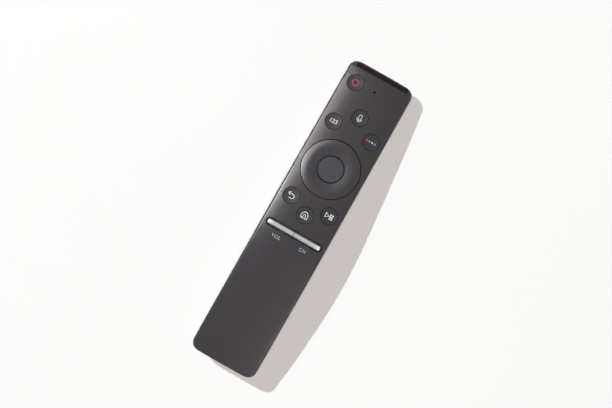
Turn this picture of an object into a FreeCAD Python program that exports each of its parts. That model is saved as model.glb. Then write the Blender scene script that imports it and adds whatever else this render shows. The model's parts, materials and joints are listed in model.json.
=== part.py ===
import FreeCAD, Part
import math
import os
from FreeCAD import Placement, Rotation, Vector

# A hand-held television remote control with an arched face, lying on its flat back.
# Millimetres. X is to the right, Y towards the end that points at the set, Z up.
# The origin is on the table, under the middle of the body.

# Outside of the body
length = 165.0
width = 35.4
crest_height = 23.8
head_end = length / 2
tail_end = -length / 2
crest_y = -14.0
crest_radius = 190.0
head_run_start = 8.0
head_run_radius = 1900.0
tail_run_start = -28.0
tail_run_radius = 720.0
nose_run = 7.0
nose_radius = 15.0
crown_radius = 167.0
shoulder_drop = 0.8
shoulder_fade_tail = -45.0
shoulder_fade_head = 5.0
edge_radius = 1.6
foot_radius = 3.8
foot_steps = 4
corner_radius = 4.6
corner_steps = 6
inner_corner_steps = 3
edge_steps = 4
end_draft = math.radians(7.0)
end_run = 8.5
tail_spans = 4
crest_spans = 5
head_spans = 4
section_floor = 4.0
crown_points = 9
inner_crown_points = 7

# Shells
wall = 1.5
seam_gap = 0.1
seat_gap = 0.05
slide_gap = 0.15
lip_thickness = 0.8
lip_height = 1.2
seam_y = -5.0
stop_thickness = 1.4
tail_parting = 8.0
head_parting = 5.2

# Deck: the sloping plane of the circuit board under the keys
deck_y = head_end - 42.5
deck_depth = 5.6
deck_tilt = 6.7
board_thickness = 1.0
board_width = width - 5.8
board_corner = 1.5
board_head_y = head_end - 7.7
board_tail_y = head_end - 97.3
mat_thickness = 0.55
mat_edge = 0.9
mat_tail_y = head_end - 86.5
mat_head_y = head_end - 8.5
bump_side = 2.6
dome_side = 4.4
dome_top_side = 2.2
dome_height = 0.3
dome_room = 0.1

# Round keys
key_radius = 4.15
key_gap = 0.25
key_foot = 1.2
key_dish_depth = 0.25
flange_side = 9.8
flange_gap = 0.15
key_column = 0.3 * width
key_spots = {
    "power_button": (-key_column, head_end - 11.0),
    "voice_button": (0.0, head_end - 25.4),
    "number_button": (-key_column, head_end - 33.2),
    "colour_button": (key_column, head_end - 33.2),
    "return_button": (-key_column, head_end - 75.3),
    "play_button": (key_column, head_end - 75.1),
    "home_button": (0.0, head_end - 80.5),
}

# Navigation ring and the key inside it
ring_y = head_end - 54.7
ring_radius = 14.75
ring_gap = 0.4
ring_bore = 7.0
ring_foot = 3.0
ring_dish_radius = 12.5
ring_dish_depth = 0.95
ring_tab_reach = 0.85
ring_tab_half_width = 4.0
ring_tab_gap = 0.75
ring_tab_drop = 0.5
nub_spot = 12.2
nub_side = 2.0
enter_radius = 6.55
enter_top = 5.0
enter_chamfer = 0.3
enter_flange_half = 7.0
enter_flange_top = 2.4
pivot_height = 1.9
pivot_radius = 0.5
pivot_gap = 0.1
carrier_bore_half = 7.5
carrier_half = 8.5
carrier_thickness = 1.2
bearing_spot = 9.1
bearing_thickness = 0.8
bearing_half_width = 1.1
pivot_reach = 0.2

# Silver levers in their slot
lever_y = head_end - 91.4
lever_span = 29.2
lever_split = 0.2
lever_width = 2.9
lever_proud = 1.15
lever_crown = 1.1
lever_end_round = 1.2
lever_bar_lift = 0.9
slot_length = 30.9
slot_width = 4.3
lever_pivot_below = 3.1
lever_pin_radius = 0.8
lever_pin_gap = 0.1
lever_foot_half = 4.3
lever_foot_drop = 0.3
lever_foot_thickness = 0.9
lever_neck_start = 1.2
lever_foot_end = 10.5
lever_neck_end = 13.2
frame_half_length = 14.8
frame_half_width = 4.6
frame_top_below = 4.25
post_half_width = 1.6
post_gap = 0.3
post_thickness = 1.0
centre_post_half = 0.9
switch_height = 0.45
switch_offset = 3.2
switch_x = 7.2
switch_size = (3.6, 1.8)

# Batteries and their tray
cell_diameter = 14.2
cell_length = 50.2
cell_spacing = 14.7
cell_gap = 0.2
cap_diameter = 5.4
cap_length = 1.2
cell_floor_gap = 0.3
tray_wall = 1.15
tray_head_y = -8.3
tray_tail_y = -67.5
tray_end_wall = 1.2
tray_tail_wall = 0.8
tray_ceiling = 0.9
tray_shoulder = 2.5
tray_foot = 2.6
contact_thickness = 0.4
contact_width = 9.0
leaf_width = 6.0
leaf_reach = 3.8
leaf_crest = 0.9
leaf_lift = 0.3
tab_width = 2.4
tab_gap = 0.15

# Battery cover rails
rail_height = 0.9
rail_low = 6.4
rail_reach = 0.6
rail_gap = 0.2
rail_spots = (-72.0, -44.0, -16.0)
rail_run = 8.0
grip_y = -22.0
grip_width = 16.0
grip_pitch = 2.2
grip_count = 6
grip_depth = 0.5

# Fastening and small parts
post_side = 3.0
post_column = 0.35 * width
post_rows = (head_end - 13.0, head_end - 46.5, head_end - 70.5)
boss_side = 3.4
boss_pin_side = 1.7
boss_pin_gap = 0.1
boss_pin_drop = 0.6
boss_spots = (
    (0.336 * width, head_end - 18.0),
    (-0.35 * width, head_end - 22.3),
    (0.37 * width, head_end - 83.9),
    (-0.37 * width, head_end - 83.9),
)
screw_x = 0.316 * width
screw_y = (tray_tail_y + tail_end + wall) / 2
screw_boss_side = 4.4
screw_radius = 0.8
screw_hole_gap = 0.2
screw_sides = 8
screw_head_radius = 2.0
screw_head_height = 1.3
screw_roof = 1.2
ear_low = tail_parting + 0.4
ear_thickness = 1.5
ear_run = 3.2
window_half_width = 14.4
window_depth = 3.2
window_flange = 1.0
sound_hole_radius = 0.6
sound_hole_spot = (0.0, head_end - 10.7)
sensor_size = (3.8, 3.0, 1.0)
gasket_side = 3.2
mat_notch = (14.4, 2.4)
led_spots = (-3.7, 3.7)
led_size = (3.0, 3.4, 2.4)
led_lens_radius = 0.9
led_lens_length = 0.8
led_seat = 1.4
chip_spot = (0.0, head_end - 54.5)
chip_size = (9.0, 9.0, 1.2)
radio_spot = (0.0, head_end - 30.5)
radio_size = (14.0, 11.0, 1.8)
crystal_spot = (7.0, head_end - 62.5)
crystal_size = (3.2, 8.0, 1.6)


def spine_height(y):
    """Height of the middle of the face: a crest arc, a longer arc each way, and a roll-off at the head."""
    on_crest = min(max(y, tail_run_start), head_run_start)
    head_run = max(y - head_run_start, 0.0)
    tail_run = max(tail_run_start - y, 0.0)
    height = crest_height - (on_crest - crest_y) ** 2 / (2 * crest_radius)
    height -= head_run * (head_run_start - crest_y) / crest_radius + head_run ** 2 / (2 * head_run_radius)
    height -= tail_run * (crest_y - tail_run_start) / crest_radius + tail_run ** 2 / (2 * tail_run_radius)
    return height - max(y - head_end + nose_run, 0.0) ** 2 / (2 * nose_radius)


def face_height(x, y):
    """Height of the face: crowned across, with shoulders that fade out towards the tail."""
    fade = (y - shoulder_fade_tail) / (shoulder_fade_head - shoulder_fade_tail)
    fade = min(max(fade, 0.0), 1.0)
    fade = fade * fade * (3 - 2 * fade)
    crown = x ** 2 / (2 * crown_radius)
    return spine_height(y) - crown - shoulder_drop * fade * (2 * x / width) ** 4


def box(low, high):
    """A box from its lowest to its highest corner."""
    size = Vector(*high) - Vector(*low)
    return Part.makeBox(size.x, size.y, size.z, Vector(*low))


def slab(points, half_width, x=0.0):
    """An outline of (y, z) points, run across the body to both sides of x."""
    corners = [Vector(x - half_width, y, z) for y, z in points]
    face = Part.Face(Part.makePolygon(corners + corners[:1]))
    return face.extrude(Vector(2 * half_width, 0, 0))


def end_at_table(end_y):
    """Where the leaning end face meets the table, so that its rounded rim reaches just to the body's end."""
    sign = math.copysign(1.0, end_y)
    centre_y = abs(end_y) - edge_radius
    centre_z = spine_height(sign * centre_y) - edge_radius
    return sign * (centre_y - centre_z * math.tan(end_draft) + edge_radius / math.cos(end_draft))


def corner_turns(radius, steps):
    """For each step round a corner: how far short of the end it is, and how much narrower the body is there."""
    angles = [math.pi / 2 * step / steps for step in range(steps + 1)]
    return [(radius * (1 - math.sin(angle)), radius * (1 - math.cos(angle))) for angle in angles]


def plan(z, inset, drawn_in):
    """Outline of the body at one height, drawn in on all sides, with its corners turned in short steps."""
    side = width / 2 - inset - drawn_in
    lean = z * math.tan(end_draft)
    head = end_at_table(head_end) + lean - inset - drawn_in
    tail = end_at_table(tail_end) - lean + inset + drawn_in
    steps = inner_corner_steps if inset > 0 else corner_steps
    corner = corner_turns(corner_radius - inset - drawn_in, steps)
    points = [(side - narrower, head - short) for short, narrower in corner]
    points += [(narrower - side, head - short) for short, narrower in reversed(corner)]
    points += [(narrower - side, tail + short) for short, narrower in corner]
    points += [(side - narrower, tail + short) for short, narrower in reversed(corner)]
    return Part.makePolygon([Vector(x, y, z) for x, y in points + points[:1]])


def block(inset):
    """The body's sides: upright along the length, leaning at the ends, with round corners and foot."""
    steps = 1 if inset > 0 else foot_steps
    foot = 0.5 * (foot_radius - inset) if inset > 0 else foot_radius
    outlines = [plan(inset + low, inset, drawn_in) for low, drawn_in in reversed(corner_turns(foot, steps))]
    outlines.append(plan(1.4 * crest_height, inset, 0.0))
    return Part.makeLoft(outlines, True, True)


def face_point(x, start, lean, drop):
    """The face's point at x in an upright or leaning plane across the body, lowered by the drop."""
    z = crest_height
    for _ in range(8):
        z = face_height(x, start + lean * z) - drop
    return Vector(x, start + lean * z, z)


def rounding_start(start, lean, half_width, drop):
    """Where across the face, in one plane, the rounding of the long edge begins, and its tilt."""
    low = 0.0
    high = half_width
    for _ in range(30):
        x = (low + high) / 2
        fall = face_point(x - 0.01, start, lean, drop).z - face_point(x + 0.01, start, lean, drop).z
        tilt = math.atan(fall / 0.02)
        if x + edge_radius * (1 - math.sin(tilt)) > half_width:
            high = x
        else:
            low = x
    return x, tilt


def cross_section(start, lean, half_width, drop, rounded):
    """Closed outline in one plane across the body: crowned face, upright sides and a flat floor."""
    reach, tilt = rounding_start(start, lean, half_width, drop) if rounded else (half_width, 0.0)
    count = crown_points if rounded else inner_crown_points
    points = [face_point(reach * (2 * index / (count - 1) - 1), start, lean, drop) for index in range(count)]
    rim = points[-1]
    if rounded:
        centre_x = rim.x - math.sin(tilt) * edge_radius
        centre_z = rim.z - math.cos(tilt) * edge_radius
        rounding = []
        for step in range(1, edge_steps + 1):
            angle = tilt + (math.pi / 2 - tilt) * step / edge_steps
            z = centre_z + math.cos(angle) * edge_radius
            rounding.append(Vector(centre_x + math.sin(angle) * edge_radius, start + lean * z, z))
        points = [Vector(-point.x, point.y, point.z) for point in reversed(rounding)] + points + rounding
    floor_y = start + lean * section_floor
    points += [Vector(half_width, floor_y, section_floor), Vector(-half_width, floor_y, section_floor)]
    return Part.makePolygon(points + points[:1])


def upper_body(inset, rounded):
    """The body's upper part, drawn in: upright cross-sections along it, and leaning ones round each end's corners."""
    side = width / 2 - inset
    reach = length / 2 - end_run
    marks = [-reach, tail_run_start, head_run_start, reach]
    places = [-reach]
    for start, end, spans in zip(marks, marks[1:], (tail_spans, crest_spans, head_spans)):
        places.extend([start + (end - start) * (index + 1) / spans for index in range(spans)])
    sections = [cross_section(y, 0.0, side, inset, rounded) for y in places]
    steps = corner_steps if rounded else inner_corner_steps
    for end in (-1, 1):
        table = end_at_table(end * length / 2) - end * inset
        turned = []
        for short, narrower in corner_turns(corner_radius - inset, steps):
            fall = edge_radius - math.sqrt(edge_radius ** 2 - max(edge_radius - short, 0.0) ** 2) if rounded else 0.0
            lean = end * math.tan(end_draft)
            turned.append(cross_section(table - end * short, lean, side - narrower, inset + fall, rounded))
        sections = sections + turned if end > 0 else turned[::-1] + sections
    return Part.makeLoft(sections, True, True)


def parting_height(y):
    """Height of the line where the upper and the lower shells meet."""
    share = max(y - seam_y, 0.0) / (length / 2 - seam_y)
    return tail_parting + (head_parting - tail_parting) * share


def under_parting(drop, low_y=-length, high_y=length):
    """All that lies below the parting line, lowered by the drop, between two places along the length."""
    low_z = -5.0
    outline = [(low_y, low_z), (low_y, parting_height(low_y) - drop)]
    if low_y < seam_y < high_y:
        outline.append((seam_y, tail_parting - drop))
    outline.append((high_y, parting_height(high_y) - drop))
    outline.append((high_y, low_z))
    return slab(outline, width)


deck_z = face_height(0, deck_y) - deck_depth
deck_sine = math.sin(math.radians(deck_tilt))
deck_cosine = math.cos(math.radians(deck_tilt))


def deck_spot(x, y):
    """Place along the deck and height over it of the face's point at x, y."""
    dy = y - deck_y
    dz = face_height(x, y) - deck_z
    return dy * deck_cosine - dz * deck_sine, dy * deck_sine + dz * deck_cosine


def deck_run(y):
    """Place along the deck of the board's own point at y."""
    return (y - deck_y) / deck_cosine


def on_deck(shape):
    """Moves a shape from the deck's own axes to the body's."""
    turn = Placement(Vector(0, deck_y, deck_z), Rotation(Vector(1, 0, 0), -deck_tilt))
    moved = shape.copy()
    moved.Placement = turn.multiply(moved.Placement)
    return moved


def deck_post(x, run, radius, low, high):
    """A round post that stands square on the deck."""
    return on_deck(Part.makeCylinder(radius, high - low, Vector(x, run, low)))


def deck_box(low, high):
    """A box square to the deck."""
    return on_deck(box(low, high))


def deck_block(x, run, side, low, high):
    """A square post that stands on the deck."""
    half = side / 2
    return deck_box((x - half, run - half, low), (x + half, run + half, high))


def under_face(x, y, half, depth):
    """Height over the deck of a flat top that lies a depth below the face all over a square round the point."""
    corners = [(x + across * half, y + along * half) for across in (-1, 1) for along in (-1, 1)]
    return min(deck_spot(*corner)[1] for corner in corners) - depth


def bearing(half_width, low, high, mouth):
    """A flat bearing plate across Y with a slot for a pin at the pivot's height, open downwards or upwards."""
    room = pivot_radius + pivot_gap
    plate = box((-half_width, 0, low), (half_width, bearing_thickness, high))
    near, far = sorted((pivot_height - mouth * room, pivot_height + mouth * crest_height))
    return plate.cut(box((-room, -1, near), (room, bearing_thickness + 1, far)))


def stadium(long_side, short_side, low, high):
    """A slot shape with round ends, along X, round the origin."""
    radius = short_side / 2
    reach = long_side / 2 - radius
    shape = box((-reach, -radius, low), (reach, radius, high))
    for x in (-reach, reach):
        shape = shape.fuse(Part.makeCylinder(radius, high - low, Vector(x, 0, low)))
    return shape.removeSplitter()


def regular_prism(radius, sides, low, high):
    """An upright prism with equal sides, inside a circle of the radius."""
    points = []
    for index in range(sides):
        angle = 2 * math.pi * (index + 0.5) / sides
        points.append(Vector(radius * math.cos(angle), radius * math.sin(angle), low))
    return Part.Face(Part.makePolygon(points + points[:1])).extrude(Vector(0, 0, high - low))


# Skins that many pieces are cut by
outer = block(0.0)
upper_outer = upper_body(0.0, True)
inside = block(wall)
upper_hollow = upper_body(wall, False)
inside_clear = block(wall + slide_gap)
ring_v, ring_face = deck_spot(0, ring_y)
cell_axis = wall + cell_floor_gap + cell_diameter / 2
cell_top = cell_axis + cell_diameter / 2
bay_tail_y = tray_tail_y + tray_tail_wall
bay_head_y = tray_head_y - tray_end_wall
tray_top = cell_top + cell_gap + tray_ceiling
deck_under = deck_box((-width, -length, -length), (width, length, -board_thickness - seat_gap))
deck_over = deck_box((-width, -length, 0), (width, length, length))


def window_region(extra):
    """The block of space at the head end that the window fills."""
    half = window_half_width + extra
    return box((-half, head_end - window_depth - extra, 0), (half, length, crest_height))


def front_cover():
    """Upper shell: the arched face with its key wells, slot, sound hole, bosses and window opening."""
    shell = upper_outer.cut(upper_hollow).cut(under_parting(0.0))
    holes = [window_region(seam_gap)]
    for x, y in key_spots.values():
        holes.append(deck_post(x, deck_spot(x, y)[0], key_radius + key_gap, 0, 2 * deck_depth))
    holes.append(deck_post(0, ring_v, ring_radius + ring_gap, 0, 2 * deck_depth))
    slot = stadium(slot_length, slot_width, 0, crest_height)
    slot.translate(Vector(0, lever_y, crest_height / 2))
    holes.append(slot)
    sound_x, sound_y = sound_hole_spot
    holes.append(deck_post(sound_x, deck_spot(sound_x, sound_y)[0], sound_hole_radius, 0, 2 * deck_depth))
    shell = shell.cut(holes)
    bosses = []
    for x, y in boss_spots:
        top = under_face(x, y, boss_side / 2, wall / 2)
        bosses.append(deck_block(x, deck_run(y), boss_side, seat_gap, top))
        pin_low = -board_thickness - boss_pin_drop
        bosses.append(deck_block(x, deck_run(y), boss_pin_side, pin_low, seat_gap + wall))
    for side in (-1, 1):
        half = screw_boss_side / 2
        low = ear_low + ear_thickness + seat_gap
        top = face_height(screw_x + half, screw_y - half) - wall / 2
        post = box((side * screw_x - half, screw_y - half, low), (side * screw_x + half, screw_y + half, top))
        bore = regular_prism(screw_radius, screw_sides, low, screw_end())
        bore.translate(Vector(side * screw_x, screw_y, 0))
        bosses.append(post.cut(bore))
    return shell.fuse(bosses)


def ir_window():
    """Dark window across the head end: a bent pane in the opening, with a flange behind the shell round it."""
    depth = wall + window_flange
    back = head_end - window_depth - window_flange - wall
    front = end_at_table(head_end) - depth
    lean = math.tan(end_draft)
    top = face_height(0, front + lean * head_parting) - depth
    core = slab([(back, 0), (front, 0), (front + lean * top, top), (back, face_height(0, back) - depth)], width)
    pane = upper_outer.common(window_region(0.0))
    flange = upper_body(wall + seam_gap, False).common(window_region(window_flange))
    return pane.fuse(flange).cut([core, under_parting(-seat_gap)])


def tray():
    """Battery tray, open downwards, with grooves for the cover's rails and slots for the contacts' tabs."""
    half = width / 2 - wall - slide_gap
    shoulder = half - tray_shoulder
    outline = [(-half, tray_foot), (half, tray_foot), (half, tray_top - tray_shoulder), (shoulder, tray_top),
               (-shoulder, tray_top), (-half, tray_top - tray_shoulder)]
    corners = [Vector(x, tray_tail_y, z) for x, z in outline]
    solid = Part.Face(Part.makePolygon(corners + corners[:1])).extrude(Vector(0, tray_head_y - tray_tail_y, 0))
    cuts = [box((-half + tray_wall, bay_tail_y, 0), (half - tray_wall, bay_head_y, cell_axis))]
    for x in (-cell_spacing / 2, cell_spacing / 2):
        radius = cell_diameter / 2 + cell_gap
        start = Vector(x, bay_tail_y, cell_axis)
        cuts.append(Part.makeCylinder(radius, bay_head_y - bay_tail_y, start, Vector(0, 1, 0)))
        tab_half = tab_width / 2 + tab_gap
        tab_tail = bay_head_y - contact_thickness - tab_gap
        cuts.append(box((x - tab_half, tab_tail, cell_axis), (x + tab_half, bay_head_y, tray_top + 1)))
    ear = box((-half, screw_y - ear_run, ear_low), (half, bay_tail_y, ear_low + ear_thickness))
    for side in (-1, 1):
        hole = regular_prism(screw_radius + screw_hole_gap, screw_sides, 0, crest_height)
        hole.translate(Vector(side * screw_x, screw_y, 0))
        ear = ear.cut(hole)
    link_end = seam_y + stop_thickness
    link = box((-half, tray_head_y - seam_gap, tray_foot), (half, link_end, tray_top))
    floor = tray_foot + stop_thickness
    link = link.cut(box((-half + tray_wall, tray_head_y, floor), (half - tray_wall, link_end - wall, crest_height)))
    solid = solid.cut(cuts).fuse([ear, link]).common(inside_clear)
    low = rail_low - rail_gap
    high = rail_low + rail_height + rail_gap
    for side in (-1, 1):
        x0, x1 = sorted((side * (half - rail_reach), side * width))
        solid = solid.cut(box((x0, -length, low), (x1, rail_spots[-1] + rail_run + 2 * tray_wall, high)))
    return solid


def rear_case():
    """Lower shell of the head half with the battery tray, board posts and locating lip in one moulding."""
    head_region = box((-width, seam_y, -1), (width, length, crest_height))
    shell = outer.cut(inside).common(under_parting(seam_gap)).common(head_region)
    band_end = head_end - window_depth - window_flange - wall
    band = box((-width, seam_y + stop_thickness - seat_gap, 0), (width, band_end, crest_height))
    inner = block(wall + seam_gap + lip_thickness)
    lip = block(wall + seam_gap).cut(inner).common(under_parting(-lip_height)).cut(under_parting(2 * seam_gap))
    root = block(0.8 * wall).cut(inner).common(under_parting(seam_gap)).cut(under_parting(lip_height))
    lip = lip.fuse(root).common(band)
    stop = box((-width, seam_y, 0), (width, seam_y + stop_thickness, crest_height))
    low_stop = block(wall / 2).common(stop).common(under_parting(seam_gap))
    high_stop = inside_clear.common(stop)
    solid = shell.fuse([lip, low_stop, high_stop, tray()])
    half = post_side / 2
    posts = []
    for x in (-post_column, post_column):
        for y in post_rows:
            posts.append(box((x - half, y - half, wall / 2), (x + half, y + half, crest_height)))
    return solid.fuse(posts).common(deck_under)


def battery_cover():
    """Lower shell of the tail half, which slides off towards the tail on its rails."""
    reach = box((-width, -length, -1), (width, seam_y - slide_gap, crest_height))
    solid = outer.cut(inside).common(under_parting(slide_gap)).common(reach)
    half = width / 2 - wall
    for side in (-1, 1):
        for y in rail_spots:
            x0, x1 = sorted((side * (half - rail_reach), side * (half + wall / 2)))
            solid = solid.fuse(box((x0, y, rail_low), (x1, y + rail_run, rail_low + rail_height)))
    for index in range(grip_count):
        y = grip_y + index * grip_pitch
        run = grip_pitch / 4
        solid = solid.cut(box((-grip_width / 2, y - run, -1), (grip_width / 2, y + run, grip_depth)))
    return solid


def circuit_board():
    """Board under the keys, with square holes for the shell's pins."""
    half = board_width / 2
    plate = box((-half, deck_run(board_tail_y), -board_thickness), (half, deck_run(board_head_y), 0))
    upright = [e for e in plate.Edges if e.BoundBox.ZLength > 0.9 * board_thickness]
    plate = on_deck(plate.makeChamfer(board_corner, upright))
    side = boss_pin_side + 2 * boss_pin_gap
    return plate.cut([deck_block(x, deck_run(y), side, -5, 5) for x, y in boss_spots])


def plunger_spots():
    """Deck places of the switch under each round key, the centre key and the four ends of the ring."""
    spots = [(x, deck_spot(x, y)[0]) for x, y in key_spots.values()]
    spots.append((0.0, ring_v))
    for quarter in range(4):
        angle = math.radians(90 * quarter)
        spots.append((nub_spot * math.cos(angle), ring_v + nub_spot * math.sin(angle)))
    return spots


def keypad_mat():
    """Rubber mat on the board: a bump over each switch, and room under it for the dome."""
    half = board_width / 2 - mat_edge
    mat = deck_box((-half, deck_run(mat_tail_y), 0), (half, deck_run(mat_head_y), mat_thickness))
    pocket_side = dome_side + 2 * dome_room
    bumps = []
    pockets = []
    for x, run in plunger_spots():
        bumps.append(deck_block(x, run, bump_side, mat_thickness / 2, key_foot - seat_gap))
        pockets.append(deck_block(x, run, pocket_side, -1, dome_height + seat_gap))
    cuts = [deck_block(x, deck_run(y), boss_side + 4 * dome_room, -1, 2) for x, y in boss_spots]
    notch_half = mat_notch[0] / 2
    notch_run = deck_run(sound_hole_spot[1]) - mat_notch[1]
    cuts.append(deck_box((-notch_half, notch_run, -1), (notch_half, deck_run(mat_head_y) + 1, 2)))
    relief = deck_block(0, ring_v, 2 * (bearing_spot + 1), mat_thickness / 2, 2)
    cuts.append(relief.cut(deck_block(0, ring_v, 2 * enter_flange_half, 0, 3)))
    for side in (-1, 1):
        run = ring_v + side * bearing_spot
        reach = bearing_half_width + 3 * dome_room
        cuts.append(deck_box((-reach, run - bearing_thickness, -1), (reach, run + bearing_thickness, 2)))
    return mat.cut(cuts).fuse(bumps).cut(pockets)


def dome_switches():
    """Square snap domes that lie on the board, one under each bump of the mat."""
    domes = []
    outer_half = dome_side / 2
    inner_half = dome_top_side / 2
    for x, run in plunger_spots():
        dome = Part.makeWedge(-outer_half, 0, -outer_half, -inner_half, -inner_half,
                              outer_half, dome_height, outer_half, inner_half, inner_half)
        dome.rotate(Vector(0, 0, 0), Vector(1, 0, 0), 90)
        dome.translate(Vector(x, run, 0))
        domes.append(on_deck(dome))
    return Part.makeCompound(domes)


def round_key(x, y):
    """Round key: its dished top leans with the face, and a square flange keeps it in and upright."""
    step = 0.01
    slope_x = (face_height(x + step, y) - face_height(x - step, y)) / (2 * step)
    slope_y = (face_height(x, y + step) - face_height(x, y - step)) / (2 * step)
    upward = Vector(-slope_x, -slope_y, 1).normalize()
    radius = (key_radius ** 2 + key_dish_depth ** 2) / (2 * key_dish_depth)
    centre = Vector(x, y, face_height(x, y)) + upward * (radius - key_dish_depth)
    dish = Part.makeSphere(radius, centre, Vector(0, 1, 0))
    run, top = deck_spot(x, y)
    flange_top = under_face(x, y, flange_side / 2, wall + flange_gap)
    flange = deck_block(x, run, flange_side, key_foot, flange_top)
    stem = deck_post(x, run, key_radius, (key_foot + flange_top) / 2, top + 1).cut(dish)
    return flange.fuse(stem)


def navigation_ring():
    """Four-way ring: outside it follows the face, inside it dips to the centre key."""
    rim_drop = face_height(0, ring_y) - face_height(ring_radius, ring_y)
    crown = ring_radius ** 2 / (2 * rim_drop)
    ring = Part.makeCylinder(ring_radius, crest_height, Vector(0, ring_v, ring_foot))
    arch = Part.makeCylinder(crown, 4 * ring_radius, Vector(0, ring_v - 2 * ring_radius, ring_face - crown),
                             Vector(0, 1, 0))
    bowl = (ring_dish_radius ** 2 - ring_bore ** 2) / (2 * ring_dish_depth)
    bowl_low = ring_face - ring_dish_radius ** 2 / (2 * bowl)
    dish = Part.makeSphere(bowl, Vector(0, ring_v, bowl_low + bowl), Vector(0, 1, 0))
    bore = Part.makeCylinder(ring_bore, 2 * crest_height, Vector(0, ring_v, 0))
    ring = ring.common(arch).cut([dish, bore])
    extras = []
    for quarter in range(4):
        angle = math.radians(90 * quarter)
        x = nub_spot * math.cos(angle)
        run = ring_v + nub_spot * math.sin(angle)
        half = nub_side / 2
        extras.append(box((x - half, run - half, key_foot + seat_gap), (x + half, run + half, ring_foot + seat_gap)))
    reach = ring_radius + ring_tab_reach
    for side in (-1, 1):
        y0, y1 = sorted((ring_v + side * (ring_radius - 1), ring_v + side * reach))
        top = deck_spot(0, ring_y + side * reach)[1] - wall - ring_tab_gap
        low = ring_foot - ring_tab_drop
        extras.append(box((-ring_tab_half_width, y0, low), (ring_tab_half_width, y1, top)))
        low = pivot_height - pivot_radius
        lug = bearing(bearing_half_width, low, ring_foot + seat_gap, -1)
        lug.rotate(Vector(0, 0, 0), Vector(0, 0, 1), 90)
        lug.translate(Vector(side * bearing_spot + bearing_thickness / 2, ring_v, 0))
        extras.append(lug)
    return on_deck(ring.fuse(extras))


def navigation_carrier():
    """Tilting frame under the ring: the ring rocks on its side pins, and it rocks on its end pins."""
    half = carrier_thickness / 2
    plate = box((-carrier_half, -carrier_half, -half), (carrier_half, carrier_half, half))
    bore = box((-carrier_bore_half, -carrier_bore_half, -1), (carrier_bore_half, carrier_bore_half, 1))
    reach = bearing_spot + bearing_thickness / 2 + pivot_reach
    start = (carrier_half + carrier_bore_half) / 2
    pins = []
    for way in (Vector(1, 0, 0), Vector(0, 1, 0), Vector(-1, 0, 0), Vector(0, -1, 0)):
        pins.append(Part.makeCylinder(pivot_radius, reach - start, way * start, way))
    frame = plate.cut(bore).fuse(pins)
    frame.translate(Vector(0, ring_v, pivot_height))
    return on_deck(frame)


def navigation_posts():
    """Two bearing posts on the board for the tilting frame's end pins."""
    top = pivot_height + pivot_radius + pivot_gap
    posts = []
    for side in (-1, 1):
        post = bearing(bearing_half_width, 0, top, 1)
        post.translate(Vector(0, ring_v + side * bearing_spot - bearing_thickness / 2, 0))
        posts.append(on_deck(post))
    return Part.makeCompound(posts)


def enter_button():
    """Centre key: a flat disc with a chamfered rim and a square flange under the ring's inner rim."""
    start = (key_foot + enter_flange_top) / 2
    stem = Part.makeCylinder(enter_radius, enter_top - start, Vector(0, ring_v, start))
    rim = [e for e in stem.Edges if e.BoundBox.ZMin > enter_top - 0.01]
    stem = on_deck(stem.makeChamfer(enter_chamfer, rim))
    return stem.fuse(deck_block(0, ring_v, 2 * enter_flange_half, key_foot, enter_flange_top))


lever_face = face_height(0, lever_y)
lever_pivot = lever_face - lever_pivot_below


def lever(side):
    """One silver lever: an arched bar in the slot, and a rocking foot with round pins under the shell."""
    start = lever_split / 2
    end = lever_span / 2
    half = lever_width / 2
    top = lever_face + lever_proud
    low = lever_pivot + lever_pin_radius + lever_pin_gap + lever_bar_lift
    arch = Part.Arc(Vector(0, half, top - lever_crown), Vector(0, 0, top), Vector(0, -half, top - lever_crown))
    corners = [Vector(0, -half, top - lever_crown), Vector(0, -half, low), Vector(0, half, low),
               Vector(0, half, top - lever_crown)]
    profile = Part.Wire([arch.toShape()] + Part.makePolygon(corners).Edges)
    bar = Part.Face(profile).extrude(Vector(end - start, 0, 0))
    bar.translate(Vector(start, 0, 0))
    centre_x = end - lever_end_round
    centre_z = top - lever_end_round
    turned = math.sqrt(0.5) * lever_end_round
    rounding = Part.Arc(Vector(centre_x, -width, top), Vector(centre_x + turned, -width, centre_z + turned),
                        Vector(end, -width, centre_z))
    corners = [Vector(end, -width, centre_z), Vector(end, -width, 0), Vector(0, -width, 0),
               Vector(0, -width, top), Vector(centre_x, -width, top)]
    side_view = Part.Wire([rounding.toShape()] + Part.makePolygon(corners).Edges)
    bar = bar.common(Part.Face(side_view).extrude(Vector(0, 2 * width, 0)))
    bar = bar.common(stadium(lever_span, lever_width, 0, 2 * crest_height))
    foot_low = lever_pivot - lever_foot_drop
    neck = box((lever_neck_start, -half, foot_low), (lever_neck_end, half, low + seat_gap))
    foot = box((lever_neck_start, -lever_foot_half, foot_low),
               (lever_foot_end, lever_foot_half, foot_low + lever_foot_thickness))
    pin_start = centre_post_half - 2 * post_gap
    pin_end = lever_neck_end + post_gap + post_thickness
    pin = Part.makeCylinder(lever_pin_radius, pin_end - pin_start, Vector(pin_start, 0, lever_pivot), Vector(1, 0, 0))
    solid = bar.fuse([neck, foot, pin])
    if side < 0:
        solid = solid.mirror(Vector(0, 0, 0), Vector(1, 0, 0))
    solid.translate(Vector(0, lever_y, 0))
    return solid


def lever_frame():
    """Wedge-shaped bearing block on the board, with open-topped posts that carry the pins of both levers."""
    top = lever_face - frame_top_below
    base = box((-frame_half_length, -frame_half_width, top - 4), (frame_half_length, frame_half_width, top))
    post_top = lever_pivot + lever_pin_radius
    spots = [(-centre_post_half, centre_post_half)]
    for side in (-1, 1):
        start = lever_neck_end + post_gap
        spots.append(sorted((side * start, side * (start + post_thickness))))
    posts = [box((x0, -post_half_width, top - seat_gap), (x1, post_half_width, post_top)) for x0, x1 in spots]
    room = lever_pin_radius + lever_pin_gap
    slot = box((-width, -room, lever_pivot - room), (width, room, 2 * crest_height))
    solid = base.fuse(posts).cut(slot)
    solid.translate(Vector(0, lever_y, 0))
    return solid.common(deck_over)


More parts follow.
